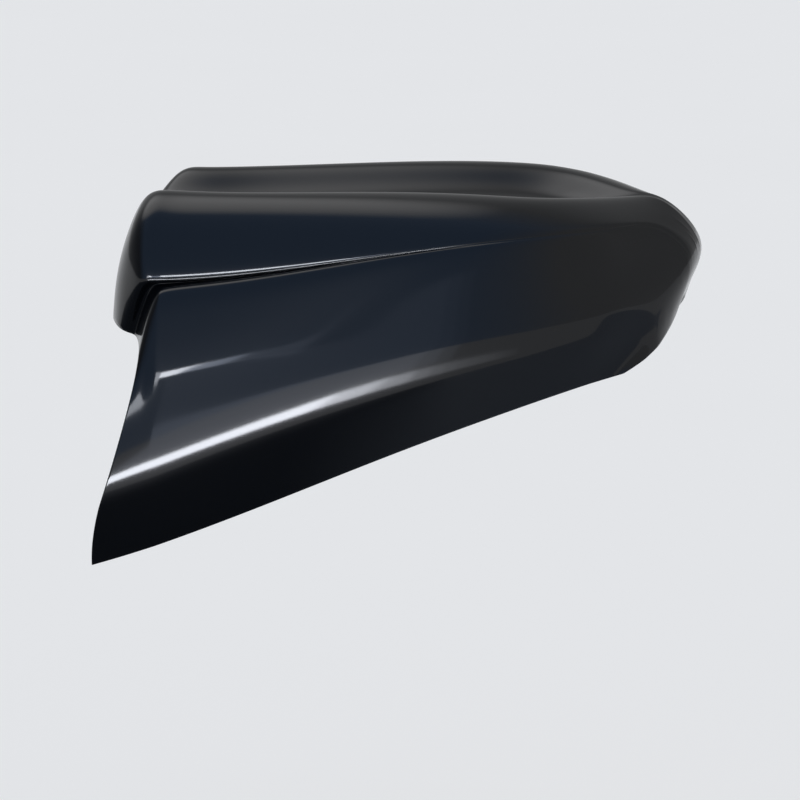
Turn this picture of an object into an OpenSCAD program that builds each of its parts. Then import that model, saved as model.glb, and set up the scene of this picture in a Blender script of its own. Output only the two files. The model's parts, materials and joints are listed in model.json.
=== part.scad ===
// Single-seat cowl for a sports motorcycle: one gloss moulding with twin crests,
// an overhanging side lip and two hanging wings, on a moulded pan that carries
// the lock striker, the front tongue and the rubber rests.
// X runs to the rear, Z up. The origin is on the axis of the lock striker's bar.

/* [Moulding] */
// Wall of the cowl
wall = 3; // [2:0.25:4]
// Stations at which the guide heights below are given, front to rear
station_x = [-205, -100, 10, 115];
// Height of the hump's free front edge
base_z = 23; // [15:1:30]
// Front face at its foot
face_x = -251; // [-270:1:-235]
// How far the front face leans back between its foot and the crest
face_lean = 26; // [10:1:40]
// How far the front face bows forward at the middle
face_bow = 4; // [0:1:10]

/* [Crests] */
// Half the distance between the crests at the front
crest_w_front = 44.5; // [38:1:54]
// Half the distance between the crests where they turn in
crest_w_rear = 63; // [58:1:72]
// Where the crests turn in towards the apex
crest_turn_x = 48; // [30:1:60]
// Where the two crests meet
apex_x = 117; // [108:1:125]
// Height of the crests at the stations
crest_z = [114.5, 118.4, 121, 110];
// Corner of the crest
crest_r = 7; // [4:1:10]
// Depth of the valley between the crests
valley_depth = 22; // [12:1:26]
// Width of each valley wall
valley_wall = 28; // [20:1:34]
// Corner of the valley floor
valley_r = 10; // [6:1:14]

/* [Side panel] */
// Half width at the bend below the crest, at the front and at mid length
bend_w = [80, 98];
// Height of the bend at the stations
bend_z = [100, 106.5, 110.5, 99.5];
// Corner of the bend
bend_r = 10; // [6:1:14]
// Half width at the lip, at the front and at mid length
lip_w = [96, 108];
// Height of the lip at the stations
lip_z = [55.8, 71.8, 93, 98];
// Corner of the lip
lip_r = 3; // [2:0.5:7]
// Depth of the slot under the lip at the front
recess_depth = 9; // [6:1:16]
// Where the slot has closed to a crease
slot_end_x = -50; // [-100:5:10]

/* [Wings] */
// Half width at the shoulder, at the front and at mid length
shoulder_w = [102, 108.5];
// Height of the shoulder at the stations
shoulder_z = [53.5, 71.1, 91, 95.5];
// Corner of the shoulder
shoulder_r = 3; // [2:0.5:9]
// Half width at the upper crease, at the front and at mid length
crease_w = [122.5, 120];
// Height of the upper crease at the stations
crease_z = [-3, 23, 42, 57];
// Corner of the upper crease
crease_r = 14; // [8:1:20]
// Half width at the belly line, at the front and at mid length
belly_w = [132.5, 125];
// Height of the belly line at the stations
belly_z = [-61, -17, 18.5, 43.5];
// Corner of the belly line
belly_r = 12; // [8:1:20]
// Half width at the lower edge, at the front and at mid length
edge_w = [119.5, 111];
// Height of the lower edge at the stations
edge_z = [-121, -76.5, -29.5, 4];
// How far the lower panel bulges beyond a flat one
lower_bulge = 2.5; // [0:0.5:5]
// Wing's front edge at the shoulder, the crease, the belly line, the lower panel and the lower edge
wing_front_x = [-219, -219, -238, -251, -253];

/* [Tail] */
// Rear tip of the moulding
tip_x = 155; // [145:1:165]
// Height of the rear tip
tip_z = 79; // [70:1:90]
// Where the sides start to close towards the tip
tail_start_x = -20; // [-40:1:0]
// Where the hump above the lip would close to nothing
hump_end_x = 134; // [128:1:140]
// Half width of the rear edge at its lower corners
rear_corner_w = 80; // [72:1:86]
// Rear edge's lower corners
rear_corner_x = 106; // [98:1:112]
// Height of the rear edge's lower corners
rear_corner_z = 2; // [-4:1:8]
// How far the rear edge lies ahead of the tip at the middle
rear_foot_lean = 19; // [10:1:26]
// How high the rear edge arches over its lower corners
rear_arch = 36; // [20:1:44]

/* [Pan] */
// Height of the pan's underside
pan_z = 30; // [27:1:34]
// Thickness of the pan
pan_t = 3; // [2:0.5:4]
// Room between the pan and the cowl
pan_gap = 5; // [3:0.5:8]
// Rear end of the pan
pan_end_x = 92; // [80:1:96]
// Height of the pan's upturned rim
rim_h = 9; // [5:1:14]
// Depth of the ribs under the pan
rib_h = 6; // [3:0.5:8]
// Thickness of ribs and rim
rib_t = 2.4; // [1.6:0.2:3.2]
// Where the front and the rear screw towers stand
tower_x = [-150, 46];
// Half the distance between a pair of towers
tower_y = 21; // [18:1:24]
// Outer radius of a tower
tower_r = 12; // [11:0.5:14]
// Radius of the hollow inside a tower
tower_hollow_r = 9; // [8:0.25:9.5]
// Floor at the top of a tower
tower_floor = 3.5; // [2.5:0.5:5]

/* [Fixings] */
// Radius of the bonded block above each tower
block_r = 15; // [13:0.5:17]
// Least thickness of a bonded block
block_t = 12; // [10:0.5:16]
// Layer of adhesive between the cowl and what is bonded to it
glue = 0.3; // [0.2:0.05:0.5]
// Thread radius of the screws and bolts
screw_r = 3; // [2.5:0.25:4]
// Clearance round a screw in a plain hole
hole_gap = 0.3; // [0.2:0.05:0.6]
// Clearance between a screw and the piece it is turned into
thread_gap = 0.05; // [0.02:0.01:0.1]
// Outer radius of a threaded insert
insert_r = 4.5; // [4.5:0.1:5.5]
// Length of a threaded insert
insert_l = 9; // [7:0.5:9.5]
// Washer thickness
washer_t = 1.6; // [1:0.1:2]
// Washer radius
washer_r = 6.6; // [6:0.1:7.5]
// Head radius of the screws and bolts
head_r = 5.4; // [5:0.1:6]
// Head height of the screws and bolts
head_h = 3.4; // [3:0.1:4.5]
// Height of a nut
nut_h = 5; // [4:0.1:6]

/* [Lock striker] */
// Radius of the striker's round bar
bar_r = 4; // [3:0.25:5]
// Distance between the striker's legs
leg_pitch = 34; // [28:1:40]
// Bend radius on the centre line of the bar
bend_centre_r = 8; // [6:0.5:10]
// Thickness of the striker plate and the front tongue
plate_t = 3; // [2:0.5:4]
// Length of the striker plate along X
plate_l = 52; // [44:1:60]
// Width of the striker plate
plate_w = 74; // [66:1:80]
// Distance of the plate's bolts from its edges
bolt_inset = 9; // [8:0.5:11]

/* [Front tongue] */
// Width of the tongue
tongue_w = 50; // [40:1:60]
// Tip of the tongue
tongue_tip_x = -233; // [-236:1:-225]
// Where the tongue steps down
tongue_step_x = -200; // [-205:1:-190]
// Rear end of the tongue
tongue_end_x = -172; // [-180:1:-168]
// Free gap between the tongue and the pan
tongue_gap = 22; // [18:0.5:25]

/* [Rests and pads] */
// Where the front and the rear rubber rests are
rest_x = [-118, 58];
// Half the distance between a pair of rests
rest_y = 56; // [50:1:60]
// Radius of a rest at its foot
rest_r = 10; // [8:0.5:12]
// Height of a rest below the pan
rest_h = 16; // [12:0.5:20]
// Radius of a rest's stem
rest_stem_r = 4; // [3:0.25:5]
// Thickness of the foam pads inside the cowl
foam_t = 3; // [2:0.5:4]
// Length of a wing pad
wing_pad_l = 58; // [36:2:60]
// Middle of the front and the rear wing pads
wing_pad_x = [-165, 20];

/* [Hidden] */
$fn = 48;

// Names of the guide lines, from the valley to the lower panel
VALLEY = 1;
CREST = 2;
BEND = 3;
LIP = 4;
RECESS = 5;
SHOULDER = 6;
CREASE = 7;
BELLY = 8;
LOWER = 9;
EDGE = 10;

function mix(a, b, t) = a + (b - a) * t;
function clamp01(t) = min(1, max(0, t));

// Cubic through four station heights
function station_height(h, x) =
    let (s = station_x)
    sum([for (i = [0:3]) h[i] * product([for (j = [0:3]) if (j != i) (x - s[j]) / (s[i] - s[j])])]);
function sum(v, i = 0) = i < len(v) ? v[i] + sum(v, i + 1) : 0;
function product(v, i = 0) = i < len(v) ? v[i] * product(v, i + 1) : 1;

// The wings close towards the tip as one rounded outline, and the hump above the lip as a blunter one
function closing(x, end_x, fullness, roundness) =
    let (u = clamp01((x - tail_start_x) / (end_x - tail_start_x)))
    pow(1 - pow(u, fullness), roundness);
wing_end_x = tip_x + 2;
wing_fullness = 2.2;
wing_roundness = 0.6;
hump_fullness = 3.2;
hump_roundness = 0.9;
function along(x) = clamp01((x - station_x[0]) / (tail_start_x - station_x[0]));
function wing_w(w, x) = mix(w[0], w[1], along(x)) * closing(x, wing_end_x, wing_fullness, wing_roundness);
function hump_w(w, x) = mix(w[0], w[1], along(x)) * closing(x, hump_end_x, hump_fullness, hump_roundness);

// The crests run apart to the turn and then straight in to the apex, where the valley has died out
apex_w = 5;
full_valley_w = 41;
least_floor_share = 0.35;
function crest_w(x) = x < crest_turn_x
    ? mix(crest_w_front, crest_w_rear, pow(clamp01((x - station_x[0]) / (crest_turn_x - station_x[0])), 0.6))
    : max(apex_w, crest_w_rear * (apex_x - x) / (apex_x - crest_turn_x));
function valley_w(x) = max(least_floor_share * crest_w(x), crest_w(x) - valley_wall);
function valley_drop(x) = valley_depth * clamp01((crest_w(x) - apex_w) / full_valley_w);
// How deep the slot under the lip is, as a share of its depth at the front
last_slot_share = 0.3;
function slot_share(x) = mix(1, last_slot_share, clamp01((x - station_x[0]) / (slot_end_x - station_x[0])));

// Half width and height of each guide line at x
floor_dip = 0.5;
lip_reach = 2;
shoulder_reach = 4;
function guide(k, x) =
    k == 0 ? [0, guide(VALLEY, x)[1] - floor_dip] :
    k == VALLEY ? [valley_w(x), station_height(crest_z, x) - valley_drop(x)] :
    k == CREST ? [crest_w(x), station_height(crest_z, x)] :
    k == BEND ? [hump_w(bend_w, x), station_height(bend_z, x)] :
    k == LIP ? [hump_w(lip_w, x) + lip_reach, station_height(lip_z, x)] :
    k == RECESS ? [hump_w(lip_w, x) + lip_reach - recess_depth * slot_share(x),
                   (station_height(lip_z, x) + station_height(shoulder_z, x)) / 2] :
    k == SHOULDER ? [hump_w(shoulder_w, x) + shoulder_reach, station_height(shoulder_z, x)] :
    k == CREASE ? [wing_w(crease_w, x), station_height(crease_z, x)] :
    k == BELLY ? [wing_w(belly_w, x), station_height(belly_z, x)] :
    k == LOWER ? (guide(BELLY, x) + guide(EDGE, x)) / 2 + [lower_bulge, 0] :
    [wing_w(edge_w, x), station_height(edge_z, x)];

recess_r = 3;
lower_r = 16;
corner_r = [0, valley_r, crest_r, bend_r, lip_r, recess_r, shoulder_r, crease_r, belly_r, lower_r, 0];

// Share of the rear end's half width at which each guide ends
rear_share = [0, 0.05, 0.12, 0.22, 0.32, 0.36, 0.41, 0.7, 0.85, 0.93, 1];
rear_foot_x = tip_x - rear_foot_lean;
// Rounded knuckle between the upper surface and the rear face
knuckle_bow = 2.4;
knuckle_drop = 3.3;
knuckle_end = [rear_corner_x - 6, rear_corner_w + 1, rear_corner_z - 2];
function knuckle(q) =
    [mix(tip_x, knuckle_end[0], pow(q, knuckle_bow)), knuckle_end[1] * q,
     mix(tip_z, knuckle_end[2], pow(q, knuckle_drop))];
// Free edge under the rear face
edge_bow = 5;
arch_roundness = 2.2;
function rear_edge(q) =
    [mix(rear_foot_x, rear_corner_x, pow(q, edge_bow)), rear_corner_w * q,
     rear_corner_z + rear_arch * (1 - pow(q, arch_roundness))];

// Sections of the body, then the knuckle, the rear face and the rear edge
body_x = [station_x[0], -175, -135, -90, -45, 0, 40, 68, 92, 110, 126];
fan_start_x = 40;
rear_mid_share = 0.55;
n_body = len(body_x);

function body_point(k, c) =
    let (
        q = rear_share[k],
        xn = body_x[min(c, n_body - 1)],
        x = xn <= fan_start_x ? xn
            : fan_start_x + (xn - fan_start_x) * (knuckle(q)[0] - fan_start_x) / (tip_x - fan_start_x),
        g = guide(k, x)
    )
    c < n_body ? [x, g[0], g[1]] :
    c == n_body ? knuckle(q) :
    c == n_body + 1 ? mix(knuckle(q), rear_edge(q), rear_mid_share) : rear_edge(q);

// Front face and front edges. Columns run from the free edge back to the first station
front_rise = [0, 0.38, 0.76, 1, 1];
foot_w = [0, 22, 46, 70, 82, 78];
foot_z = [0, 0, 0, -1, -5, -8];
setback_foot = [0, 0, 0, 1, 11, 20];
setback_top = [0, 0, 0, 4, 22, 32];
function face_at(z, y) =
    face_x + face_lean * pow(clamp01((z - base_z - 10) / (crest_z[0] - base_z - 10)), 2)
    - face_bow * (1 - pow(y / crest_w_front, 2) * 0.5);

function hump_front(k, c) =
    let (
        t = front_rise[c],
        g = guide(k, station_x[0]),
        y = mix(foot_w[k], g[0], t),
        z = mix(base_z + foot_z[k], g[1], t),
        x = face_at(z, y) + mix(setback_foot[k], setback_top[k], t)
    )
    [c == 4 ? mix(x, station_x[0], 0.6) : x, y, z];

// The wing's front edge starts below the hump's foot and swings up into the shoulder
edge_step = [0, 0.25, 0.5, 0.75, 0.9];
edge_flare = 5;
edge_drop = 9;
edge_swing = 0.7;
function shoulder_front(c) =
    let (
        t = edge_step[c],
        x = mix(wing_front_x[0], station_x[0], t),
        g = guide(SHOULDER, x)
    )
    [x, g[0] + edge_flare * (1 - t), mix(base_z - edge_drop, g[1], pow(t, edge_swing))];

function wing_front(k, c) =
    let (
        x = mix(wing_front_x[k - SHOULDER], station_x[0], edge_step[c]),
        g = guide(k, x)
    )
    [x, g[0], g[1]];

function front_point(k, c) =
    k <= RECESS ? hump_front(k, c) : k == SHOULDER ? shoulder_front(c) : wing_front(k, c);

n_front = 5;
n_cols = n_front + n_body + 3;
function guide_point(k, c) = c < n_front ? front_point(k, c) : body_point(k, c - n_front);

// Inner face: the same guides moved in by the wall
function inward(k, c) =
    let (
        f = c < n_front ? 1 : c < n_front + n_body ? slot_share(body_x[c - n_front]) : slot_share(tip_x),
        rear = c < n_front + n_body ? 0 : 1,
        front = c < 3 ? 1 : c == 3 ? 0.75 : 0,
        up = k <= CREST ? [0, 0, -1] :
             k == BEND ? [0, -1, -0.8] :
             k == LIP ? [0, -1, f] :
             k == RECESS ? [0, -1 - 1.2 * f, 0] :
             k == SHOULDER ? [0, -1, -f] : [0, -1, 0],
        ahead = k <= CREST ? [1, 0, 0] :
                k == BEND ? [1, -0.8, 0] :
                k == LIP ? [1, -0.9, 0.2] :
                k == RECESS ? [1.4, -1.2, 0] :
                k == SHOULDER ? [0.6, -0.6, -0.8] : [0, -1, 0],
        corner = k <= CREST ? [1, 0, -1] : k == BEND ? [1, -0.8, -0.8] : ahead,
        q = rear_share[k],
        behind = [-1 + 0.6 * pow(q, 4), -pow(q, 3), c == n_front + n_body ? -0.8 * (1 - q) : 0]
    )
    wall * mix(c == 3 ? corner : mix(up, ahead, front), behind, rear);

// Each guide corner is cut on both sides by its radius
function cut_corners(p) = concat(
    [p[0]],
    [for (k = [1:len(p) - 2], side = [-1, 1])
        let (v = p[k + side] - p[k], d = norm(v))
        p[k] + v / d * min(corner_r[k], 0.42 * d)],
    [p[len(p) - 1]]);

function outer_column(c) = cut_corners([for (k = [0:EDGE]) guide_point(k, c)]);
function inner_column(c) = cut_corners([for (k = [0:EDGE]) guide_point(k, c) + inward(k, c)]);
function both_sides(h) = concat([for (j = [len(h) - 1:-1:1]) [h[j][0], -h[j][1], h[j][2]]], h);

// Uniform cubic B-spline through a line of control points, ending on its end points
function with_ends(p) = let (n = len(p)) concat([2 * p[0] - p[1]], p, [2 * p[n - 1] - p[n - 2]]);
function spline_at(q, i, t) =
    (pow(1 - t, 3) * q[i] + (3 * pow(t, 3) - 6 * pow(t, 2) + 4) * q[i + 1]
     + (-3 * pow(t, 3) + 3 * pow(t, 2) + 3 * t + 1) * q[i + 2] + pow(t, 3) * q[i + 3]) / 6;
function spline(p, n) =
    let (q = with_ends(p))
    concat([for (i = [0:len(p) - 2], s = [0:n - 1]) spline_at(q, i, s / n)], [p[len(p) - 1]]);

// Smooth skin as a grid of points, sections first
steps = 2;
function skin(columns) =
    let (
        across = [for (c = columns) spline(both_sides(c), steps)],
        lengthwise = [for (j = [0:len(across[0]) - 1]) spline([for (c = across) c[j]], steps)]
    )
    [for (i = [0:len(lengthwise[0]) - 1]) [for (l = lengthwise) l[i]]];

outer_skin = skin([for (c = [0:n_cols - 1]) outer_column(c)]);
inner_skin = skin([for (c = [0:n_cols - 1]) inner_column(c)]);

// Closed solid between two grids of the same size
module between(a, b) {
    n = len(a);
    m = len(a[0]);
    points = concat([for (r = a) each r], [for (r = b) each r]);
    function ia(i, j) = i * m + j;
    function ib(i, j) = n * m + i * m + j;
    faces = concat(
        [for (i = [0:n - 2], j = [0:m - 2]) each
            [[ia(i, j), ia(i, j + 1), ia(i + 1, j + 1)], [ia(i, j), ia(i + 1, j + 1), ia(i + 1, j)]]],
        [for (i = [0:n - 2], j = [0:m - 2]) each
            [[ib(i, j), ib(i + 1, j + 1), ib(i, j + 1)], [ib(i, j), ib(i + 1, j), ib(i + 1, j + 1)]]],
        [for (i = [0:n - 2]) each
            [[ia(i, 0), ia(i + 1, 0), ib(i + 1, 0)], [ia(i, 0), ib(i + 1, 0), ib(i, 0)],
             [ia(i, m - 1), ib(i + 1, m - 1), ia(i + 1, m - 1)],
             [ia(i, m - 1), ib(i, m - 1), ib(i + 1, m - 1)]]],
        [for (j = [0:m - 2]) each
            [[ia(0, j), ib(0, j + 1), ia(0, j + 1)], [ia(0, j), ib(0, j), ib(0, j + 1)],
             [ia(n - 1, j), ia(n - 1, j + 1), ib(n - 1, j + 1)],
             [ia(n - 1, j), ib(n - 1, j + 1), ib(n - 1, j)]]]);
    polyhedron(points = points, faces = faces, convexity = 10);
}

// One-piece moulding
module cowl_shell() {
    color([0.05, 0.06, 0.08]) between(outer_skin, inner_skin);
}

// Corners of a piece that comes four times, in the order of the node names
CORNERS = [[0, -1], [0, 1], [1, -1], [1, 1]];

// Pan: the outline keeps inside the narrowest part of the cowl
pan_start_x = face_x + 2 * wall + pan_gap;
pan_top = pan_z + pan_t;
pan_nose_taper = 0.4;
recess_wall = 2.2 * wall;
function pan_w(x) =
    guide(RECESS, max(x, station_x[0]))[0] - recess_wall - pan_gap
    - max(0, station_x[0] - x) * pan_nose_taper;
pan_stations = [pan_start_x, -225, station_x[0], -180, -140, -90, -40, 10, 40, 60, 78, pan_end_x];
module pan_outline(inset = 0) {
    n = len(pan_stations) - 1;
    side = [for (i = [0:n])
        [pan_stations[i] + (i == 0 ? inset : i == n ? -inset : 0), pan_w(pan_stations[i]) - inset]];
    polygon(concat(side, [for (i = [n:-1:0]) [side[i][0], -side[i][1]]]));
}
function tower_top(x) = guide(0, x)[1] - wall - glue - block_t;
function at_tower(i) = [tower_x[CORNERS[i][0]], CORNERS[i][1] * tower_y];
function at_rest(i) = [rest_x[CORNERS[i][0]], CORNERS[i][1] * rest_y];
function at_bolt(i) =
    [(CORNERS[i][0] * 2 - 1) * (plate_l / 2 - bolt_inset), CORNERS[i][1] * (plate_w / 2 - bolt_inset)];
tongue_bolt_shift = 3;
tongue_bolt_inset = 11;
tongue_bolt_x = (tongue_step_x + tongue_end_x) / 2 + tongue_bolt_shift;
tongue_bolt_y = tongue_w / 2 - tongue_bolt_inset;
// Length of thread that stands out of a nut
thread_out = 2;
hole_r = screw_r + hole_gap;

cross_rib_x = [-160, -92, -60, 34, 84];
rib_inset = 5;
plate_room = 2;
module pan_ribs() {
    for (y = [-tower_y - tower_r, tower_y + tower_r])
        translate([pan_start_x + rib_inset, y - rib_t / 2, pan_z - rib_h])
            cube([pan_end_x - pan_start_x - 2 * rib_inset, rib_t, rib_h + pan_t / 2]);
    for (x = cross_rib_x)
        translate([x - rib_t / 2, rib_inset - pan_w(x), pan_z - rib_h])
            cube([rib_t, 2 * (pan_w(x) - rib_inset), rib_h + pan_t / 2]);
}

module base_pan() {
    color([0.09, 0.09, 0.1])
    difference() {
        union() {
            translate([0, 0, pan_z]) linear_extrude(pan_t) pan_outline();
            translate([0, 0, pan_z + pan_t / 2])
                linear_extrude(rim_h + pan_t / 2) difference() { pan_outline(); pan_outline(rib_t); }
            difference() {
                pan_ribs();
                for (i = [0:3])
                    translate(concat(at_rest(i), pan_z - rib_h - 1))
                        cylinder(r = rest_r + plate_room, h = rib_h + 1);
                translate([-plate_l / 2 - plate_room, -plate_w / 2 - plate_room, pan_z - rib_h - 1])
                    cube([plate_l + 2 * plate_room, plate_w + 2 * plate_room, rib_h + 1]);
            }
            for (i = [0:3])
                translate(concat(at_tower(i), pan_z + pan_t / 2))
                    cylinder(r = tower_r, h = tower_top(at_tower(i)[0]) - pan_z - pan_t / 2);
        }
        for (i = [0:3]) translate(concat(at_tower(i), 0)) {
            floor_z = tower_top(at_tower(i)[0]) - tower_floor;
            mouth_z = pan_z - rib_h - 1;
            translate([0, 0, mouth_z]) cylinder(r = tower_hollow_r, h = floor_z - mouth_z);
            translate([0, 0, floor_z - 1]) cylinder(r = hole_r, h = tower_floor + 2);
        }
        for (i = [0:3]) translate(concat(at_rest(i), pan_z - 1)) cylinder(r = rest_stem_r, h = pan_t + 2);
        for (i = [0:3]) translate(concat(at_bolt(i), pan_z - 1)) cylinder(r = hole_r, h = pan_t + 2);
        for (side = [-1, 1])
            translate([tongue_bolt_x, side * tongue_bolt_y, pan_z - 1]) cylinder(r = hole_r, h = pan_t + 2);
    }
}

// Block bonded under the valley floor above a tower
mid = (len(inner_skin[0]) - 1) / 2;
valley_reach = 3 * steps;
block_margin = 24;
module under_valley(x, z) {
    reach = block_r + block_margin;
    picked = [for (i = [4 * steps:len(inner_skin) - 1]) if (abs(inner_skin[i][mid][0] - x) < reach) i];
    top = [for (i = picked)
        [for (j = [mid - valley_reach:mid + valley_reach]) inner_skin[i][j] - [0, 0, glue]]];
    floor_z = [for (row = top) [for (p = row) [p[0], p[1], z]]];
    between(top, floor_z);
}
module bonded_block(i) {
    p = at_tower(i);
    z = tower_top(p[0]);
    color([0.16, 0.16, 0.17])
    difference() {
        intersection() {
            translate(concat(p, z)) cylinder(r = block_r, h = 2 * block_t);
            under_valley(p[0], z);
        }
        translate(concat(p, z - 1)) cylinder(r = insert_r + thread_gap, h = insert_l + 1);
    }
}
module insert(i) {
    p = at_tower(i);
    color([0.75, 0.6, 0.3])
    translate(concat(p, tower_top(p[0]))) difference() {
        cylinder(r = insert_r, h = insert_l);
        translate([0, 0, -1]) cylinder(r = screw_r + thread_gap, h = insert_l + 2);
    }
}

// Screw with a button head below, its seat at z = 0 and its shank going up
module button_screw(shank) {
    socket_r = screw_r * 0.66;
    dome_sink = 1.2;
    difference() {
        union() {
            cylinder(r = screw_r, h = shank);
            rotate_extrude() intersection() {
                translate([0, dome_sink]) scale([1, (head_h + dome_sink) / head_r]) circle(r = head_r);
                translate([0, -head_h]) square([head_r, head_h]);
            }
        }
        translate([0, 0, -head_h - 1]) cylinder(r = socket_r, h = head_h, $fn = 6);
    }
}
module tower_screw(i) {
    p = at_tower(i);
    z = tower_top(p[0]) - tower_floor - washer_t;
    color([0.7, 0.7, 0.72]) translate(concat(p, z)) button_screw(washer_t + tower_floor + insert_l - 1);
}
module ring(r, hole, h) {
    difference() {
        cylinder(r = r, h = h);
        translate([0, 0, -1]) cylinder(r = hole, h = h + 2);
    }
}
module tower_washer(i) {
    p = at_tower(i);
    color([0.7, 0.7, 0.72])
    translate(concat(p, tower_top(p[0]) - tower_floor - washer_t)) ring(washer_r, hole_r, washer_t);
}

// Lock striker: a round bar bent to a U and welded under its plate
plate_z = pan_z - plate_t;
module striker_plate() {
    corner = 8;
    color([0.6, 0.61, 0.63])
    translate([0, 0, plate_z]) linear_extrude(plate_t) difference() {
        union() {
            square([plate_l, plate_w - 2 * corner], center = true);
            square([plate_l - 2 * corner, plate_w], center = true);
            for (x = [-1, 1], y = [-1, 1])
                translate([x * (plate_l / 2 - corner), y * (plate_w / 2 - corner)]) circle(r = corner);
        }
        for (i = [0:3]) translate(at_bolt(i)) circle(r = hole_r);
    }
}
module lock_striker() {
    weld_h = 2.5;
    straight = leg_pitch - 2 * bend_centre_r;
    color([0.68, 0.69, 0.71]) {
        rotate([90, 0, 0]) translate([0, 0, -straight / 2]) cylinder(r = bar_r, h = straight);
        for (side = [-1, 1]) {
            translate([0, side * straight / 2, bend_centre_r])
                rotate([0, 90, 0]) rotate([0, 0, side > 0 ? 0 : -90])
                    rotate_extrude(angle = 90) translate([bend_centre_r, 0]) circle(r = bar_r);
            translate([0, side * leg_pitch / 2, bend_centre_r])
                cylinder(r = bar_r, h = plate_z - bend_centre_r);
            translate([0, side * leg_pitch / 2, plate_z - weld_h])
                cylinder(r1 = bar_r, r2 = bar_r + weld_h, h = weld_h);
        }
    }
}
module striker_bolt(i) {
    color([0.7, 0.7, 0.72])
    translate(concat(at_bolt(i), plate_z)) button_screw(plate_t + pan_t + nut_h + thread_out);
}
module flange_nut() {
    flange_t = 1.2;
    hexagon_r = screw_r * 1.9;
    difference() {
        union() {
            cylinder(r = washer_r, h = flange_t);
            cylinder(r = hexagon_r, h = nut_h, $fn = 6);
        }
        translate([0, 0, -1]) cylinder(r = screw_r + thread_gap, h = nut_h + 2);
    }
}
module striker_nut(i) {
    color([0.7, 0.7, 0.72]) translate(concat(at_bolt(i), pan_top)) flange_nut();
}

// Folded tongue that hooks under the frame ahead of the pan
module front_tongue() {
    low = plate_z - tongue_gap;
    fold = 4;
    bevel = 1.5;
    bend_in = 2;
    lead = 5;
    tip_r = 12;
    top = low + plate_t;
    web_x = tongue_step_x - fold;
    color([0.6, 0.61, 0.63])
    difference() {
        intersection() {
            rotate([90, 0, 0]) translate([0, 0, -tongue_w / 2]) linear_extrude(tongue_w) polygon([
                [tongue_end_x, plate_z], [tongue_end_x, pan_z], [web_x + fold + 1, pan_z],
                [web_x, pan_z - fold - 1], [web_x, top + bevel], [web_x - bevel, top],
                [tongue_tip_x + lead, top], [tongue_tip_x, top - bevel],
                [tongue_tip_x, low - 1], [tongue_tip_x + fold, low],
                [web_x + 1, low], [web_x + plate_t, low + bend_in],
                [web_x + plate_t, plate_z - bevel], [web_x + plate_t + bend_in, plate_z]]);
            translate([0, 0, low - lead]) linear_extrude(pan_z - low + 2 * lead) union() {
                translate([tongue_tip_x + tip_r, -tongue_w / 2]) square([tongue_end_x - tongue_tip_x, tongue_w]);
                for (side = [-1, 1])
                    translate([tongue_tip_x + tip_r, side * (tongue_w / 2 - tip_r)]) circle(r = tip_r);
                translate([tongue_tip_x, tip_r - tongue_w / 2]) square([tip_r + 1, tongue_w - 2 * tip_r]);
            }
        }
        for (side = [-1, 1])
            translate([tongue_bolt_x, side * tongue_bolt_y, plate_z - 1]) cylinder(r = hole_r, h = plate_t + 2);
    }
}
module tongue_bolt(side) {
    color([0.7, 0.7, 0.72])
    translate([tongue_bolt_x, side * tongue_bolt_y, plate_z])
        button_screw(plate_t + pan_t + nut_h + thread_out);
}
module tongue_nut(side) {
    color([0.7, 0.7, 0.72]) translate([tongue_bolt_x, side * tongue_bolt_y, pan_top]) flange_nut();
}

// Rubber rest: a foot below the pan, a stem through it and a bulb above
module rubber_rest(i) {
    stem = rest_stem_r - thread_gap;
    foot = 3;
    edge = 1;
    barb = 1.6;
    barb_h = 2;
    stem_end = pan_t + 7;
    color([0.06, 0.06, 0.06])
    translate(concat(at_rest(i), pan_z)) rotate_extrude() polygon([
        [0, -rest_h], [rest_r - foot, -rest_h], [rest_r - edge, -rest_h + foot / 2],
        [rest_r, -2 * edge], [rest_r - edge, 0], [stem, 0],
        [stem, pan_t], [stem + barb, pan_t], [stem + barb, pan_t + barb_h],
        [stem - edge, stem_end], [0, stem_end]]);
}

// Foam stuck to the inner face: a patch of it, set off by the glue and by the foam
module foam_patch(rows, columns, inwards) {
    near = [for (i = columns) [for (j = rows) inner_skin[i][j] + inwards * glue]];
    far = [for (i = columns) [for (j = rows) inner_skin[i][j] + inwards * (glue + foam_t)]];
    between(near, far);
}
module wing_pad(i) {
    side = CORNERS[i][1];
    x = wing_pad_x[CORNERS[i][0]];
    first = mid + side * (2 * LOWER - 1) * steps;
    last = mid + side * (2 * LOWER * steps + 1);
    rows = side > 0 ? [first:1:last] : [last:1:first];
    picked = [for (n = [0:len(inner_skin) - 1]) if (abs(inner_skin[n][last][0] - x) < wing_pad_l / 2) n];
    color([0.12, 0.12, 0.13]) foam_patch(rows, picked, [0, -side, 0]);
}
module front_foam_strip() {
    reach = 4 * steps;
    color([0.12, 0.12, 0.13]) foam_patch([for (j = [mid - reach:mid + reach]) j], [0, 1, 2], [1, 0, 0]);
}
module rear_foam_strip() {
    last = len(inner_skin) - 1;
    reach = 2 * SHOULDER * steps;
    color([0.12, 0.12, 0.13])
        foam_patch([for (j = [mid - reach:mid + reach]) j], [last - 2, last - 1, last], [-1, 0, 0]);
}

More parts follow.
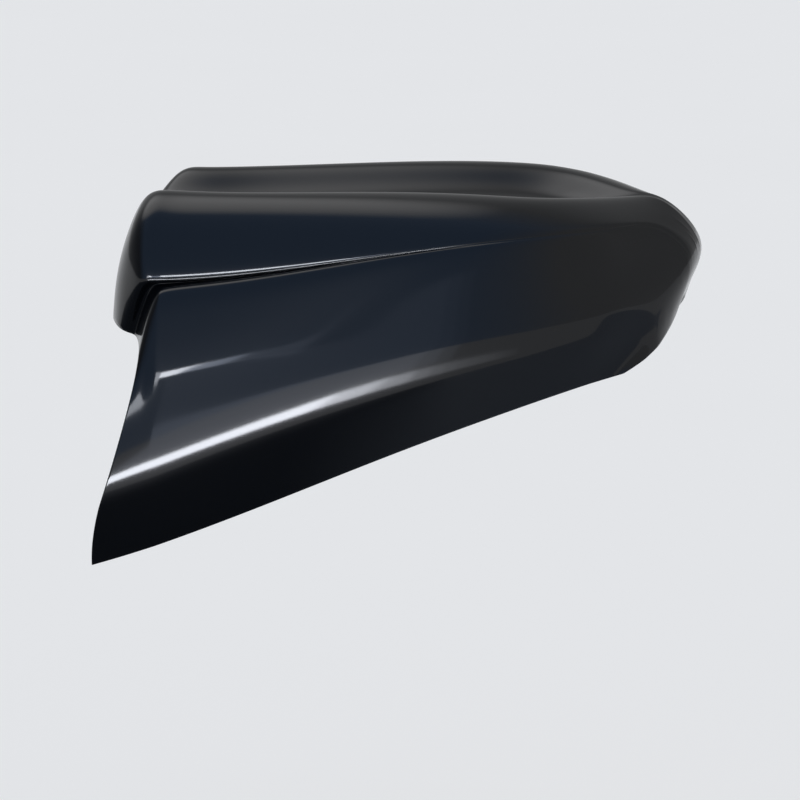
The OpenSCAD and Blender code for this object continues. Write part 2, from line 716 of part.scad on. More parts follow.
cowl_shell();
base_pan();
striker_plate();
lock_striker();
front_tongue();
bonded_block(0);  // bonded_block_front_left
bonded_block(1);  // bonded_block_front_right
bonded_block(2);  // bonded_block_rear_left
bonded_block(3);  // bonded_block_rear_right
insert(0);  // insert_front_left
insert(1);  // insert_front_right
insert(2);  // insert_rear_left
insert(3);  // insert_rear_right
tower_screw(0);  // tower_screw_front_left
tower_screw(1);  // tower_screw_front_right
tower_screw(2);  // tower_screw_rear_left
tower_screw(3);  // tower_screw_rear_right
tower_washer(0);  // tower_washer_front_left
tower_washer(1);  // tower_washer_front_right
tower_washer(2);  // tower_washer_rear_left
tower_washer(3);  // tower_washer_rear_right
striker_bolt(0);  // striker_bolt_front_left
striker_bolt(1);  // striker_bolt_front_right
striker_bolt(2);  // striker_bolt_rear_left
striker_bolt(3);  // striker_bolt_rear_right
striker_nut(0);  // striker_nut_front_left
striker_nut(1);  // striker_nut_front_right
striker_nut(2);  // striker_nut_rear_left
striker_nut(3);  // striker_nut_rear_right
rubber_rest(0);  // rubber_rest_front_left
rubber_rest(1);  // rubber_rest_front_right
rubber_rest(2);  // rubber_rest_rear_left
rubber_rest(3);  // rubber_rest_rear_right
wing_pad(0);  // wing_pad_front_left
wing_pad(1);  // wing_pad_front_right
wing_pad(2);  // wing_pad_rear_left
wing_pad(3);  // wing_pad_rear_right
tongue_bolt(-1);  // tongue_bolt_left
tongue_bolt(1);  // tongue_bolt_right
tongue_nut(-1);  // tongue_nut_left
tongue_nut(1);  // tongue_nut_right
front_foam_strip();
rear_foam_strip();
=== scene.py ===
# %% [markdown]
# # A seat cowl in gloss black
# A seat cowl is one thin hump with two long wings, sprayed black and lacquered. A black pan is screwed up inside it
# and carries the steel of the lock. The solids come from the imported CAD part. They could be shown as they are, but a
# real moulding has softened edges, grain, and paint on one face only. So each solid gets a finished copy here, with
# its finish and the small forms that the solids leave out.

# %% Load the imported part
import json
import math

import bpy
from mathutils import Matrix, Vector

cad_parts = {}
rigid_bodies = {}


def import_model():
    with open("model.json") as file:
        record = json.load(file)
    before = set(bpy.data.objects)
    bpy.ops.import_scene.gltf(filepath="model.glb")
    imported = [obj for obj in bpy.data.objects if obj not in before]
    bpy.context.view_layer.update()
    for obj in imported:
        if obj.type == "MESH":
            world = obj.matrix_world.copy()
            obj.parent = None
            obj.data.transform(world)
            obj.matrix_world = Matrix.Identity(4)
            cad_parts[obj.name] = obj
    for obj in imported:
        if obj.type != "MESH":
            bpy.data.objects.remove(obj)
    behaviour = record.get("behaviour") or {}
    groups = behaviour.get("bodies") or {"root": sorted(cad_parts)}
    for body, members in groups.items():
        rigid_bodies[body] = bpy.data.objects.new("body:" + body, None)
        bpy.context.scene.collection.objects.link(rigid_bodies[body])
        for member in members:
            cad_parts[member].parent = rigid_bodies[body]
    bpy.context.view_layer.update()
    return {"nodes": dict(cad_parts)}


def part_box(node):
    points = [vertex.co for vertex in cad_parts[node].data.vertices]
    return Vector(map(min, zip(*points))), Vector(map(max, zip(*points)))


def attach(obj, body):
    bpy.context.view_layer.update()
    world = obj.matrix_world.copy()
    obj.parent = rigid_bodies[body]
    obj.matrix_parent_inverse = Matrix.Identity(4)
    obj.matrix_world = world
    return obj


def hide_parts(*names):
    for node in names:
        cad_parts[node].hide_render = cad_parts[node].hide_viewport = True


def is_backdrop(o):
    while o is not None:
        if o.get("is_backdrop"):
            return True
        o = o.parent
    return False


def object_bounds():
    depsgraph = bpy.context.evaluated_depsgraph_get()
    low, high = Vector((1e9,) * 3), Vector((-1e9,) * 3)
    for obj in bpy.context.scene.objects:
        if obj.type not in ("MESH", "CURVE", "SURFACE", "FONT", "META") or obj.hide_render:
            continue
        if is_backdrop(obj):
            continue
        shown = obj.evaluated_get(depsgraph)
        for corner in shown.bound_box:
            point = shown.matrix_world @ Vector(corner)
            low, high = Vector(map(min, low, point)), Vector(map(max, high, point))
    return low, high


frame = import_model()
MM = 0.001
CORNERS = ("front_left", "front_right", "rear_left", "rear_right")
SIDES = ("left", "right")

# %% [markdown]
# ## The camera
# The cowl is seen from its left side, a little from behind and from above. A short lens close by would spread the
# near corner. A long lens from further off keeps the edges nearly parallel, as in a product picture. The camera
# comes first, so that every later step can be judged through it.

# %% Camera
CAMERA_PLACE = Vector((0.3621, -2.3940, 0.5416))
CAMERA_AIM = Vector((-0.060, 0.0, -0.042))
LENS_MM = 160.7
SENSOR_MM = 36

bpy.ops.object.camera_add(location=CAMERA_PLACE)
camera = bpy.context.object
camera.rotation_euler = (CAMERA_AIM - CAMERA_PLACE).to_track_quat("-Z", "Y").to_euler()
camera.data.sensor_width = SENSOR_MM
camera.data.lens = LENS_MM
bpy.context.scene.camera = camera
print("camera is", round((CAMERA_PLACE - CAMERA_AIM).length, 3), "m from its aim")


# %% [markdown]
# ## Colours and material nodes
# Colours are written as sRGB hex, the way a paint card or a colour picker gives them. Shaders want linear light, so
# one function turns them. One more function adds any node with its settings and its links, and three small ones
# name what every finish here needs: noise of a real size, mottled colour, and relief.

# %% Colour and node helpers
def linear(hex_colour):
    """An sRGB hex colour as linear RGBA."""
    parts = [int(hex_colour[i : i + 2], 16) / 255 for i in (1, 3, 5)]
    return (*[c / 12.92 if c <= 0.04045 else ((c + 0.055) / 1.055) ** 2.4 for c in parts], 1.0)


def add_node(tree, kind, settings=None, **inputs):
    """Adds a node. Inputs are values, or (node, output) pairs to link. i3 names the fourth input."""
    node = tree.nodes.new("ShaderNode" + kind)
    for key, value in (settings or {}).items():
        setattr(node, key, value)
    for key, value in inputs.items():
        numbered = key[0] == "i" and key[1:].isdigit()
        socket = node.inputs[int(key[1:])] if numbered else node.inputs[key.replace("_", " ")]
        if isinstance(value, tuple) and isinstance(value[0], bpy.types.Node):
            tree.links.new(value[0].outputs[value[1]], socket)
        else:
            socket.default_value = value
    return node


def new_material(name, **shader_inputs):
    """A node material. Returns it with its tree, its Principled shader and its Object coordinates."""
    material = bpy.data.materials.new(name)
    material.use_nodes = True
    tree = material.node_tree
    shader = tree.nodes["Principled BSDF"]
    for key, value in shader_inputs.items():
        shader.inputs[key.replace("_", " ")].default_value = value
    return material, tree, shader, add_node(tree, "TexCoord")


def noise(tree, place, size_mm, detail=2.0):
    """Noise whose features are about size_mm wide."""
    return add_node(tree, "TexNoise", Vector=(place, "Object"), Scale=1 / (size_mm * MM), Detail=detail)


def mottled(tree, shader, pattern, first, second, smooth, rough):
    """The pattern drives the colour between two hex values and the roughness between two numbers."""
    colour = add_node(
        tree, "Mix", {"data_type": "RGBA"}, i0=(pattern, "Fac"), i6=linear(first), i7=linear(second)
    )
    gloss = add_node(tree, "MapRange", Value=(pattern, "Fac"), To_Min=smooth, To_Max=rough)
    tree.links.new(colour.outputs[2], shader.inputs["Base Color"])
    tree.links.new(gloss.outputs["Result"], shader.inputs["Roughness"])


def bumped(tree, shader, height, output, depth_mm, strength, *sockets):
    """The height pattern, depth_mm deep, bends the shader's normals."""
    bump = add_node(tree, "Bump", Height=(height, output), Strength=strength, Distance=depth_mm * MM)
    for socket in sockets or ("Normal",):
        tree.links.new(bump.outputs["Normal"], shader.inputs[socket])


print("mid grey is", [round(c, 3) for c in linear("#808080")[:3]], "in linear light")

# %% [markdown]
# ## Lacquered paint
# The shell is sprayed black over primer and lacquered. The eye sees very little of the black itself: it sees the
# room in the lacquer. One very smooth shader would look like glass. Sprayed lacquer is never quite flat: it has
# orange peel, soft waves a few millimetres across, and the black under it has a trace of blue. So the clear coat
# does the mirror work, and a weak, broad gloss under it softens the edges of the reflections.

# %% Gloss black paint
PEEL_MM = 2.6
HAZE_MM = 70
paint, tree, shader, place = new_material(
    "gloss_black_lacquer",
    Base_Color=linear("#05070B"),
    Specular_IOR_Level=0.06,
    Coat_Weight=0.6,
    Coat_Roughness=0.075,
    Coat_IOR=1.5,
)
haze = add_node(tree, "MapRange", Value=(noise(tree, place, HAZE_MM), "Fac"), To_Min=0.26, To_Max=0.34)
tree.links.new(haze.outputs["Result"], shader.inputs["Roughness"])
bumped(tree, shader, noise(tree, place, PEEL_MM, 1.0), "Fac", 0.05, 0.03, "Normal", "Coat Normal")
print(paint.name, "has waves", PEEL_MM, "mm wide")

# %% [markdown]
# ## Bare moulding inside
# Nobody paints the inside. It shows the bare black plastic: matt and slightly mottled, with the fine grain that the
# mould tool leaves. Noise on Object coordinates needs no unwrapping and has no seams. The real grain is finer than
# a pixel here, so it is drawn 1.2 mm wide, coarse enough to break up a reflection.

# %% Bare inner plastic
bare, tree, shader, place = new_material("bare_abs_inside")
mottled(tree, shader, noise(tree, place, 18, 4.0), "#1A1B1D", "#28292C", 0.48, 0.66)
bumped(tree, shader, noise(tree, place, 1.2), "Fac", 0.2, 0.25)
print("inside:", bare.name)

# %% [markdown]
# ## Plastic and nylon
# The pan is moulded in grained black plastic, and the tool's grain breaks its gloss into fine points. A Voronoi
# pattern gives such points, and noise would only give clouds. The bonded blocks are turned from nylon bar. They are
# smoother and a little greyer, with tool marks round them, which are straight bands along Z.

# %% Pan and blocks
WAVE_SCALE = 0.314  # a wave texture of scale s repeats every 0.314 / s
pan_black, tree, shader, place = new_material("grained_pan_plastic", Specular_IOR_Level=0.4)
mottled(tree, shader, noise(tree, place, 30, 3.0), "#17181A", "#222326", 0.42, 0.58)
stipple = add_node(tree, "TexVoronoi", Vector=(place, "Object"), Scale=1 / (0.9 * MM))
bumped(tree, shader, stipple, "Distance", 0.12, 0.35)

nylon, tree, shader, place = new_material("machined_nylon")
mottled(tree, shader, noise(tree, place, 9, 2.0), "#2A2B2E", "#35363A", 0.4, 0.55)
turning = add_node(
    tree, "TexWave", {"wave_type": "BANDS", "bands_direction": "Z"},
    Vector=(place, "Object"), Scale=WAVE_SCALE / (0.6 * MM), Distortion=0.6
)
bumped(tree, shader, turning, "Fac", 0.03, 0.3)
print("plastics:", pan_black.name, "and", nylon.name)

# %% [markdown]
# ## Rubber and foam
# The rubber rests carry the dusty bloom of new rubber, so they are patchy and nearly without gloss. The foam shows
# its cells, each under a millimetre across. Light gets lost in them, and what comes back is a soft edge like
# velvet's, which Sheen gives.

# %% Rubber and foam
rubber, tree, shader, place = new_material("black_rubber_bloom", Specular_IOR_Level=0.35)
mottled(tree, shader, noise(tree, place, 6, 5.0), "#111112", "#232323", 0.62, 0.85)
bumped(tree, shader, noise(tree, place, 0.5), "Fac", 0.05, 0.3)

foam, tree, shader, place = new_material("open_cell_foam", Specular_IOR_Level=0.15, Sheen_Weight=0.25)
mottled(tree, shader, noise(tree, place, 4, 3.0), "#161719", "#242629", 0.85, 0.97)
cells = add_node(tree, "TexVoronoi", Vector=(place, "Object"), Scale=1 / (0.8 * MM))
bumped(tree, shader, cells, "Distance", 0.5, 0.8)
print("soft materials:", rubber.name, "and", foam.name)

# %% [markdown]
# ## Zinc plate
# Zinc plate is bright, faintly blue, and clouded where the passivation dried. Rolled sheet keeps straight scratches
# along its length, which noise gives once it is stretched forty times. The round bar was drawn, so its scratches
# run round the bend with it, where no straight pattern can follow. They read as fine speckle, and so they are that.

# %% Zinc
zinc_sheet, tree, shader, place = new_material("zinc_plated_sheet", Metallic=1.0)
mottled(tree, shader, noise(tree, place, 12, 5.0), "#A9AFB6", "#C3C6C6", 0.24, 0.4)
along = add_node(tree, "Mapping", Vector=(place, "Object"), Scale=(60, 2400, 60))
scratches = add_node(tree, "TexNoise", Vector=(along, "Vector"), Scale=1.0, Detail=3.0)
bumped(tree, shader, scratches, "Fac", 0.02, 0.35)

zinc_bar, tree, shader, place = new_material("zinc_plated_bar", Metallic=1.0)
mottled(tree, shader, noise(tree, place, 5, 6.0), "#B3B8BD", "#CDCFCE", 0.2, 0.36)
bumped(tree, shader, noise(tree, place, 0.7, 3.0), "Fac", 0.03, 0.25)
print("zinc:", zinc_sheet.name, "and", zinc_bar.name)

# %% [markdown]
# ## Stainless and brass
# The fixings are stainless, cleaner and a little warmer than the zinc. A thread could be cut as a real helix, but
# these shanks are short and half hidden. A wave one millimetre long, the pitch of a 6 mm screw, bends the light as
# the turns do. The brass inserts are knurled, so their wave runs slantwise.

# %% Stainless and brass
THREAD_PITCH_MM = 1.0
KNURL_MM = 0.8
stainless, tree, shader, place = new_material("stainless_steel", Metallic=1.0)
mottled(tree, shader, noise(tree, place, 3, 4.0), "#B9B8B4", "#D0CFCB", 0.18, 0.3)
bumped(tree, shader, noise(tree, place, 0.4), "Fac", 0.01, 0.2)

thread, tree, shader, place = new_material("stainless_thread", Metallic=1.0)
mottled(tree, shader, noise(tree, place, 2, 2.0), "#A3A29F", "#BDBCB8", 0.25, 0.4)
turns = add_node(
    tree, "TexWave", {"wave_type": "BANDS", "bands_direction": "Z"},
    Vector=(place, "Object"), Scale=WAVE_SCALE / (THREAD_PITCH_MM * MM), Distortion=0.0
)
bumped(tree, shader, turns, "Fac", 0.5, 0.9)

brass, tree, shader, place = new_material("knurled_brass", Metallic=1.0)
mottled(tree, shader, noise(tree, place, 2, 3.0), "#A88748", "#C4A263", 0.28, 0.42)
knurl = add_node(
    tree, "TexWave", {"wave_type": "BANDS", "bands_direction": "DIAGONAL"},
    Vector=(place, "Object"), Scale=WAVE_SCALE / (KNURL_MM * MM), Distortion=0.0
)
bumped(tree, shader, knurl, "Fac", 0.2, 0.6)
print("fixings:", stainless.name, thread.name, brass.name)


# %% [markdown]
# ## Finished copies
# A moulding or a forging has no knife edges. The edges could be rounded one by one in edit mode. A Bevel modifier
# does it to all edges over a given angle, and its width can still be changed later. It needs a clean mesh, so each
# copy is merged and its flat faces are joined first. The CAD node itself stays as it is.

# %% Copy helpers
MERGE_GAP = 0.004 * MM
SMOOTH_BELOW = math.radians(35)
BEVEL_ABOVE = math.radians(38)


def only(piece):
    """Deselects all and makes one piece active."""
    bpy.ops.object.select_all(action="DESELECT")
    piece.select_set(True)
    bpy.context.view_layer.objects.active = piece


def merged_copy(node, name):
    """A copy of a CAD node with its loose triangles merged, ready to shape."""
    copy = bpy.data.objects.new(name, frame["nodes"][node].data.copy())
    bpy.context.scene.collection.objects.link(copy)
    copy.data.materials.clear()
    only(copy)
    bpy.ops.object.mode_set(mode="EDIT")
    bpy.ops.mesh.select_all(action="SELECT")
    bpy.ops.mesh.remove_doubles(threshold=MERGE_GAP)
    bpy.ops.mesh.customdata_custom_splitnormals_clear()
    bpy.ops.object.mode_set(mode="OBJECT")
    return copy


def finish_piece(piece, node, slot, *materials):
    """Gives a piece its materials and its body, and hides the CAD node that it stands for. The slot is not used."""
    for material in materials:
        piece.data.materials.append(material)
    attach(piece, "root")
    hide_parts(node)


def rounded_copy(node, slot, material, edge_mm, flat_angle=2.0, segments=2):
    """A copy of a CAD node whose edges are rounded by edge_mm."""
    piece = merged_copy(node, node + "_finished")
    bpy.ops.object.mode_set(mode="EDIT")
    bpy.ops.mesh.select_all(action="SELECT")
    bpy.ops.mesh.dissolve_limited(angle_limit=math.radians(flat_angle))
    bpy.ops.object.mode_set(mode="OBJECT")
    finish_piece(piece, node, slot, material)
    only(piece)
    bpy.ops.object.shade_smooth_by_angle(angle=SMOOTH_BELOW)
    bevel = piece.modifiers.new("edge", "BEVEL")
    bevel.width = edge_mm * MM
    bevel.segments = segments
    bevel.limit_method = "ANGLE"
    bevel.angle_limit = BEVEL_ABOVE
    bevel.harden_normals = True
    return piece


print("CAD nodes to finish:", len(frame["nodes"]))

# %% [markdown]
# ## The moulding
# The CAD skin is a regular net of small facets. A copy of it is merged, its triangles are joined back to the quads
# they came from, and Subdivision Surface will round the net into the smooth skin of the real moulding. The rim is
# creased, so that the cut edge stays crisp. The same sharp edges are marked as seams, which part the inner face from
# the outer one.

# %% The painted skin
RIM_ABOVE = math.radians(55)
RIM_HOLD = 0.55
shell = merged_copy("cowl_shell", "cowl_skin")
bpy.ops.object.mode_set(mode="EDIT")
bpy.ops.mesh.tris_convert_to_quads(face_threshold=math.pi, shape_threshold=math.pi)
bpy.ops.mesh.select_mode(type="EDGE")
bpy.ops.mesh.select_all(action="DESELECT")
bpy.ops.mesh.edges_select_sharp(sharpness=RIM_ABOVE)
bpy.ops.mesh.mark_seam()
bpy.ops.transform.edge_crease(value=RIM_HOLD)
bpy.ops.mesh.select_mode(type="FACE")
bpy.ops.mesh.select_all(action="DESELECT")
bpy.ops.object.mode_set(mode="OBJECT")
finish_piece(shell, "cowl_shell", "gloss_black_shell", paint, bare)
print("shell faces:", len(shell.data.polygons))

# %% [markdown]
# ## The wing creases
# A faint crease runs back along each wing from its front edge and dies away before mid length. A bump in the paint
# would not bend the highlight truly. The CAD skin has a line of points along the crease, so these are drawn out a
# little, and their neighbours less. Two nearly flat facets then meet there, and the line keeps part of its
# sharpness when the skin is subdivided.

# %% Where the crease runs
CREASE_LINE_MM = ((-221.1, -10.2), (-205.2, -3.1), (-154.7, 10.5), (-90.0, 25.2), (-45.0, 34.1))
CREASE_LIFT = 1.2 * MM
CREASE_REACH = 30 * MM
CREASE_HOLD = 0.75
CREASE_TIP_X, CREASE_START_X = -0.214, -0.203
CREASE_FULL_X, CREASE_END_X = -0.19, -0.05


def crease_height(x):
    """Height of the wing crease at x, in metres."""
    for (x0, z0), (x1, z1) in zip(CREASE_LINE_MM, CREASE_LINE_MM[1:]):
        if x <= x1 * MM or x1 == CREASE_LINE_MM[-1][0]:
            return (z0 + (z1 - z0) * (x / MM - x0) / (x1 - x0)) * MM


def crease_share(x):
    """How much of the crease there is at x: it starts bluntly behind the wing's edge and dies away."""
    ahead = (x - CREASE_TIP_X) / (CREASE_START_X - CREASE_TIP_X)
    behind = (CREASE_END_X - x) / (CREASE_END_X - CREASE_FULL_X)
    return min(1.0, max(0.0, min(ahead, behind)))


print("crease in mm high:", [round(crease_height(x * MM) / MM, 1) for x in (-200, -150, -100, -50)])

# %% Draw the creases out
WING_FRONT_X = -0.226
WING_Y = 0.095
OUTER_LINE_Y = 0.1198
ON_LINE = 1.5 * MM
on_line = set()
for point in shell.data.vertices:
    x, y, z = point.co
    if abs(y) < WING_Y or x > CREASE_END_X or x < WING_FRONT_X:
        continue
    away = abs(z - crease_height(x))
    if away < ON_LINE and abs(y) > OUTER_LINE_Y:
        on_line.add(point.index)
    point.co.y += math.copysign(CREASE_LIFT * crease_share(x) * max(0.0, 1 - away / CREASE_REACH), y)
edge_crease = shell.data.attributes["crease_edge"]
along_line = [e for e in shell.data.edges if e.vertices[0] in on_line and e.vertices[1] in on_line]
for edge in along_line:
    middle_x = (shell.data.vertices[edge.vertices[0]].co.x + shell.data.vertices[edge.vertices[1]].co.x) / 2
    edge_crease.data[edge.index].value = CREASE_HOLD * crease_share(middle_x)
print("crease edges:", len(along_line))

# %% [markdown]
# ## The bare inner face
# Only the outside is painted. A mask painted by hand would end in a ragged line at the rim. The seams end exactly
# there, so one face under the crest is picked, and all that is linked to it up to the seams gets the bare plastic.

# %% The bare inner face
FACING_DOWN = -0.9
SKIN_LEVELS = 2
under_crest = max((f for f in shell.data.polygons if f.normal.z < FACING_DOWN), key=lambda f: f.center.z)
under_crest.select = True
bpy.ops.object.mode_set(mode="EDIT")
bpy.ops.mesh.select_linked(delimit={"SEAM"})
shell.active_material_index = 1
bpy.ops.object.material_slot_assign()
bpy.ops.object.mode_set(mode="OBJECT")
bpy.ops.object.shade_smooth()
skin = shell.modifiers.new("skin", "SUBSURF")
skin.levels = skin.render_levels = SKIN_LEVELS
print("bare faces inside:", sum(f.material_index == 1 for f in shell.data.polygons))

# %% [markdown]
# ## The pan and what hangs from it
# The pan carries all the working parts: the lock's striker on its plate, the tongue that hooks in at the front, and
# the rubber rests. Their forms are in the solids, so a finished copy of each is enough. The edge radii are those of
# the real processes: small on a moulding, larger on folded sheet that has been deburred. Round pieces keep all their
# facets, and so they have a tiny flat angle.

# %% Pan, plate, tongue, striker and rests
ROUND = 0.1
pan = rounded_copy("base_pan", "black_moulded_pan", pan_black, 0.35)
plate = rounded_copy("striker_plate", "zinc_plated_sheet", zinc_sheet, 0.4)
tongue = rounded_copy("front_tongue", "zinc_plated_sheet", zinc_sheet, 0.5)
striker = rounded_copy("lock_striker", "zinc_plated_bar", zinc_bar, 0.3, flat_angle=ROUND)
for corner in CORNERS:
    rounded_copy("rubber_rest_" + corner, "black_rubber", rubber, 0.4, flat_angle=ROUND)
print("faces of pan, plate, tongue and striker:", [len(p.data.polygons) for p in (pan, plate, tongue, striker)])

# %% [markdown]
# ## Foam
# Foam pads and strips are stuck inside the wings and ends, so that the cowl sits tight and doesn't rattle. Die-cut
# foam has soft edges, because the knife presses it down as it cuts. So these have the widest rounding, in three
# steps.

# %% Foam
FOAM_NODES = ["wing_pad_" + corner for corner in CORNERS] + ["front_foam_strip", "rear_foam_strip"]
for node in FOAM_NODES:
    pad = rounded_copy(node, "black_foam", foam, 0.7, flat_angle=ROUND, segments=3)
print("foam pieces:", len(FOAM_NODES))

# %% [markdown]
# ## Blocks, washers, nuts and inserts
# These small turned and stamped parts differ only in material and edge. One loop over the corners finishes them, so
# that all four stay alike.

# %% Blocks, washers, nuts and inserts
for corner in CORNERS:
    rounded_copy("bonded_block_" + corner, "black_block", nylon, 0.4, flat_angle=ROUND)
    rounded_copy("tower_washer_" + corner, "stainless_fixings", stainless, 0.15)
    rounded_copy("striker_nut_" + corner, "stainless_fixings", stainless, 0.2)
    rounded_copy("insert_" + corner, "brass", brass, 0.2)
for side in SIDES:
    rounded_copy("tongue_nut_" + side, "stainless_fixings", stainless, 0.2)

# %% [markdown]
# ## Threads
# Only the shank of a screw is threaded, and its head is smooth. The faces could be picked by hand on each screw. A
# rule does all ten alike: a face belongs to the shank when it lies above the head, faces sideways, and is nearer to
# the axis than the shank's radius.

# %% Screws and bolts
SHANK_R = 3.1 * MM
HEAD_HIGH = 3.4 * MM
SIDEWAYS = 0.3
screws = ["tower_screw_" + c for c in CORNERS] + ["striker_bolt_" + c for c in CORNERS]
screws += ["tongue_bolt_" + s for s in SIDES]
threaded = 0
for node in screws:
    screw = rounded_copy(node, "stainless_fixings", stainless, 0.15, flat_angle=0.5)
    screw.data.materials.append(thread)
    low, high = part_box(node)
    axis = Vector(((low[0] + high[0]) / 2, (low[1] + high[1]) / 2, 0))
    for face in screw.data.polygons:
        flat = Vector((face.center.x, face.center.y, 0))
        above_head = face.center.z > low[2] + HEAD_HIGH
        if above_head and abs(face.normal.z) < SIDEWAYS and (flat - axis).length < SHANK_R:
            face.material_index = 1
            threaded += 1
print("screws:", len(screws), "with threaded faces:", threaded)

# %% [markdown]
# ## The floor
# The cowl is held by its lock striker, so the floor lies clear below it. Floor and backdrop are one pale, very wide
# plane. More lamps could turn it white, but they would grey the black paint. So Light Path lifts what the camera
# and the mirrors see of it towards white, and leaves enough of the painted floor to carry the soft shadow.

# %% Floor
FLOOR_Z = -0.45
FLOOR_SIZE = 60
SWEEP_WHITE = 0.6
floor_paint, tree, shader, place = new_material("pale_studio_paint", Specular_IOR_Level=0.1)
mottled(tree, shader, noise(tree, place, 400, 2.0), "#E9E7E3", "#EDEBE7", 0.85, 0.95)
white = add_node(tree, "Emission", Color=linear("#FFFFFF"), Strength=1.0)
ray = add_node(tree, "LightPath")
either = {"operation": "MAXIMUM"}
seen = add_node(tree, "Math", either, i0=(ray, "Is Camera Ray"), i1=(ray, "Is Glossy Ray"))
seen = add_node(tree, "Math", either, i0=(seen, 0), i1=(ray, "Is Transmission Ray"))
share = add_node(tree, "Math", {"operation": "MULTIPLY"}, i0=(seen, 0), i1=SWEEP_WHITE)
sweep = add_node(tree, "MixShader", i0=(share, 0), i1=(shader, "BSDF"), i2=(white, "Emission"))
tree.links.new(sweep.outputs[0], tree.nodes["Material Output"].inputs["Surface"])
bpy.ops.mesh.primitive_plane_add(size=FLOOR_SIZE, location=(0, 0, FLOOR_Z))
floor = bpy.context.object
floor.name = "floor"
floor.data.materials.append(floor_paint)
floor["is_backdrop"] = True

# %% [markdown]
# ## The painted reflection card
# Gloss black over a pale floor mirrors the floor and turns grey below. A sheet lies where a studio card would lie,
# out of the picture, and paints a darker reflection into the lacquer. It is dark grey below the front half and fades
# to nearly white behind, so that the wing's lower panel is nearly black at the front and lighter towards the rear.
# Only
# mirrors see it: it neither lights nor shades the floor or the cowl.

# %% Graded card
CARD_FADE = (-0.10, 0.12)
CARD_MIDDLE = (0.2, -0.5)
CARD_SIZE = (5.6, 1.7)
CARD_ABOVE = 0.002
painted_reflection_card_paint, tree, shader, place = new_material("painted_reflection_card", Specular_IOR_Level=0.0, Roughness=1.0)
across = add_node(tree, "SeparateXYZ", Vector=(place, "Object"))
fade = add_node(
    tree, "MapRange", {"interpolation_type": "SMOOTHSTEP"},
    Value=(across, "X"), From_Min=CARD_FADE[0], From_Max=CARD_FADE[1]
)
# Painted reflection: this tone is what the lacquer mirrors below the wing, dark grey at the front and nearly white
# behind.
painted_reflection_tone = add_node(
    tree, "Mix", {"data_type": "RGBA"}, i0=(fade, "Result"), i6=linear("#6C6D6F"), i7=linear("#E6E7E8")
)
tree.links.new(painted_reflection_tone.outputs[2], shader.inputs["Base Color"])
bpy.ops.mesh.primitive_grid_add(
    x_subdivisions=4, y_subdivisions=4, size=1, location=(*CARD_MIDDLE, FLOOR_Z + CARD_ABOVE)
)
card = bpy.context.object
card.name = "painted_reflection_card"
card.scale = (*CARD_SIZE, 1)
bpy.ops.object.transform_apply(location=True, rotation=False, scale=True)
card.data.materials.append(painted_reflection_card_paint)
card.visible_camera = card.visible_diffuse = card.visible_shadow = False
card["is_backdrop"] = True
print("card in m:", CARD_SIZE)

# %% [markdown]
# ## The air around
# Black lacquer shows the room, so the room is the world's colour by direction. On the camera's side it is cool at
# the front and neutral at the rear. The far side is a plain grey, and straight ahead it is darker. One large soft
# light stands high, ahead of the cowl and on its far side. An image of a real room could do this too, but a few
# ranges are easier to read and to change. The camera itself sees an even pale backdrop.

# %% World
world = bpy.data.worlds.new("studio_air")
bpy.context.scene.world = world
world.use_nodes = True
tree = world.node_tree
place = add_node(tree, "TexCoord")
way = add_node(tree, "SeparateXYZ", Vector=(place, "Generated"))


def world_mix(share, first, second):
    """Two colours or nodes of the world, mixed by a node's Result."""
    return add_node(tree, "Mix", {"data_type": "RGBA"}, i0=(share, "Result"), i6=first, i7=second)


rearward = add_node(tree, "MapRange", Value=(way, "X"), From_Min=-0.1, From_Max=0.7)
farward = add_node(tree, "MapRange", Value=(way, "Y"), From_Min=0.0, From_Max=0.5)
ahead = add_node(tree, "MapRange", Value=(way, "X"), From_Min=-0.65, From_Max=-0.92)
near = world_mix(rearward, linear("#96B3DC"), linear("#C8C9CA"))
sides = world_mix(farward, (near, 2), linear("#A2A3A4"))
room = world_mix(ahead, (sides, 2), linear("#6A6C70"))
print("world so far:", len(tree.nodes), "nodes")

# %% Light in the sky and the backdrop
SKY_LIGHT = Vector((-0.50, 0.35, 0.79))
SKY_GLOW = (1.7, 1.7, 1.72, 1.0)
SKY_EDGE, SKY_FULL = 0.88, 0.985
BACKDROP = "#EDEEF0"
towards = add_node(tree, "VectorMath", {"operation": "DOT_PRODUCT"}, i0=(place, "Generated"), i1=SKY_LIGHT)
lifted = add_node(
    tree, "MapRange", {"interpolation_type": "SMOOTHSTEP"},
    Value=(towards, "Value"), From_Min=SKY_EDGE, From_Max=SKY_FULL
)
lit = world_mix(lifted, (room, 2), SKY_GLOW)
ray = add_node(tree, "LightPath")
shown = add_node(
    tree, "Mix", {"data_type": "RGBA"}, i0=(ray, "Is Camera Ray"), i6=(lit, 2), i7=linear(BACKDROP)
)
tree.links.new(shown.outputs[2], tree.nodes["Background"].inputs["Color"])
tree.nodes["Background"].inputs["Strength"].default_value = 1.0
print("sky light reaches", round(math.degrees(math.acos(SKY_EDGE))), "degrees from its middle")


# %% [markdown]
# ## Lamps
# Every highlight on lacquer is the picture of a lamp. Each lamp here is a soft box on the camera's side that draws
# one highlight, and it is kept out of the diffuse light, so that floor and plastic stay plainly lit by the room.
# Its power follows from how bright its face should look, so a lamp can change its size and keep its tone.

# %% Soft box helper
COOL, PALE = "#DDE8FF", "#F2F6FF"


def softbox(name, place, aim, width, height, radiance, colour):
    """An area lamp that shines from place to aim and looks as bright as radiance says."""
    bpy.ops.object.light_add(type="AREA", location=place)
    lamp = bpy.context.object
    lamp.name = name
    lamp.rotation_euler = (Vector(aim) - Vector(place)).to_track_quat("-Z", "Y").to_euler()
    lamp.data.shape = "RECTANGLE"
    lamp.data.size = width
    lamp.data.size_y = height
    lamp.data.color = linear(colour)[:3]
    lamp.data.energy = radiance * math.pi * width * height
    lamp.visible_camera = lamp.visible_diffuse = False
    return lamp


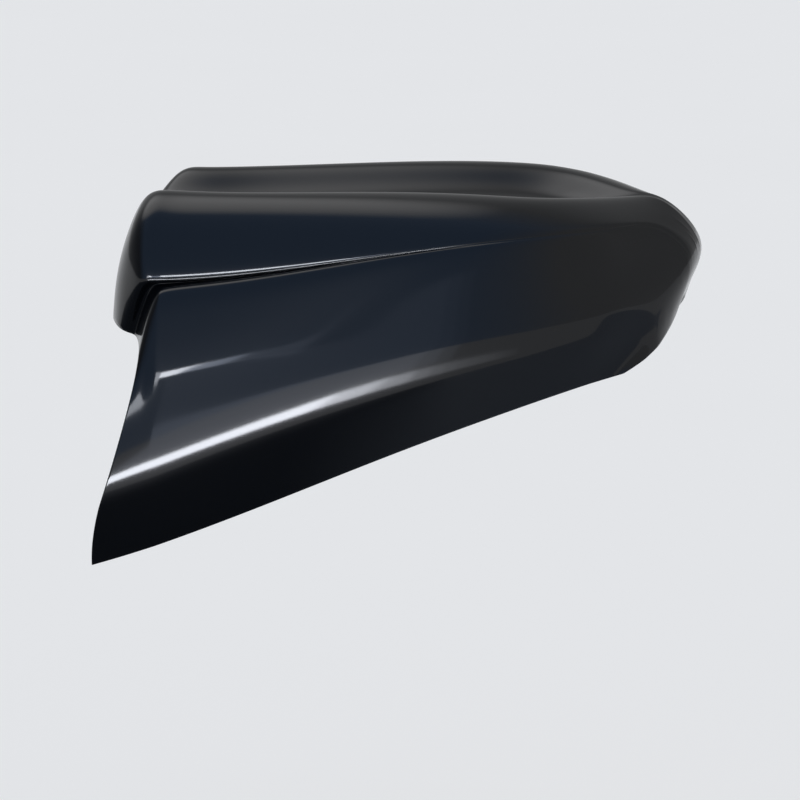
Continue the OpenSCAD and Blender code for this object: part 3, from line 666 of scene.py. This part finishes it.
print("lamp colours:", COOL, PALE)

# %% [markdown]
# ## The belly's highlight
# A low strip draws the bright line along the belly of the wing. With one long lamp the line would end in a square
# corner. A row of short lamps, each weaker than the one before, lets it die away towards the rear.

# %% Belly strip
STRIP_Y, STRIP_Z, STRIP_AIM_Z = -1.5, -0.30, -0.05
STRIP_X, STRIP_WIDE, STRIP_HIGH, STRIP_RADIANCE = -0.53, 0.54, 0.085, 40
FADE_X, FADE_STEP = -0.23, 0.06
STRIP_FADE = (20, 8.5, 4, 2.6, 1.9, 1.5, 1.2, 1.0, 0.8, 0.55, 0.35, 0.2)


def strip_part(name, x, width, radiance):
    """One lamp of the strip, facing the cowl at x."""
    softbox(name, (x, STRIP_Y, STRIP_Z), (x, 0, STRIP_AIM_Z), width, STRIP_HIGH, radiance, PALE)


strip_part("low_strip", STRIP_X, STRIP_WIDE, STRIP_RADIANCE)
for step, radiance in enumerate(STRIP_FADE):
    strip_part("low_strip_fade_" + str(step), FADE_X + FADE_STEP * step, FADE_STEP, radiance)
print("strip reaches back to x =", round(FADE_X + FADE_STEP * (len(STRIP_FADE) - 0.5), 2), "m")

# %% [markdown]
# ## The glow over the belly
# Above its bright line the belly has a broad, dim sheen that thins out upwards and to the rear. Two large faint
# boxes above the strip give it, the upper one weaker. Each ends in two narrower steps.

# %% Glow
GLOW_Y = -1.52
GLOW_LOW = {"z": -0.12, "aim_z": -0.05, "height": 0.24, "radiance": 1.6}
GLOW_HIGH = {"z": 0.13, "aim_z": 0.05, "height": 0.26, "radiance": 0.3}
GLOW_PARTS = (("", -0.42, 0.52, 1.0), ("_fade", -0.12, 0.08, 0.65), ("_tail", -0.04, 0.08, 0.3))
for part, x, width, share in GLOW_PARTS:
    for name, glow in (("glow_low", GLOW_LOW), ("glow_high", GLOW_HIGH)):
        softbox(
            name + part, (x, GLOW_Y, glow["z"]), (x, 0, glow["aim_z"]),
            width, glow["height"], glow["radiance"] * share, COOL
        )
print("glow lamps:", 2 * len(GLOW_PARTS))

# %% [markdown]
# ## Lip and crease
# The lip under the hump catches a thin line, and the wing's crease a short bright stroke that fades to the rear.
# Four small boxes, high and towards the front, stand where the lacquer mirrors them on these two edges.

# %% Lip and crease lamps
EDGE_Y = -1.4
softbox("lip_glow", (-0.84, EDGE_Y, 0.26), (-0.2, 0, 0.05), 0.15, 0.22, 10, PALE)
softbox("crease_spot", (-0.69, EDGE_Y, 0.29), (-0.2, 0, 0.0), 0.14, 0.12, 30, PALE)
softbox("crease_spot_end", (-0.58, EDGE_Y, 0.28), (-0.2, 0, 0.0), 0.08, 0.11, 6, COOL)
softbox("crease_tail", (-0.49, EDGE_Y, 0.265), (-0.15, 0, 0.03), 0.10, 0.10, 0.8, COOL)

# %% [markdown]
# ## Sizes and finish
# The Standard view shows each colour as it is written. A film-like view would dull the black. The box of the finished
# object is printed.

# %% Sizes and finish
bpy.context.scene.view_settings.view_transform = "Standard"
low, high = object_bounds()
print("finished box in mm:", [round(v / MM, 1) for v in (*low, *high)])
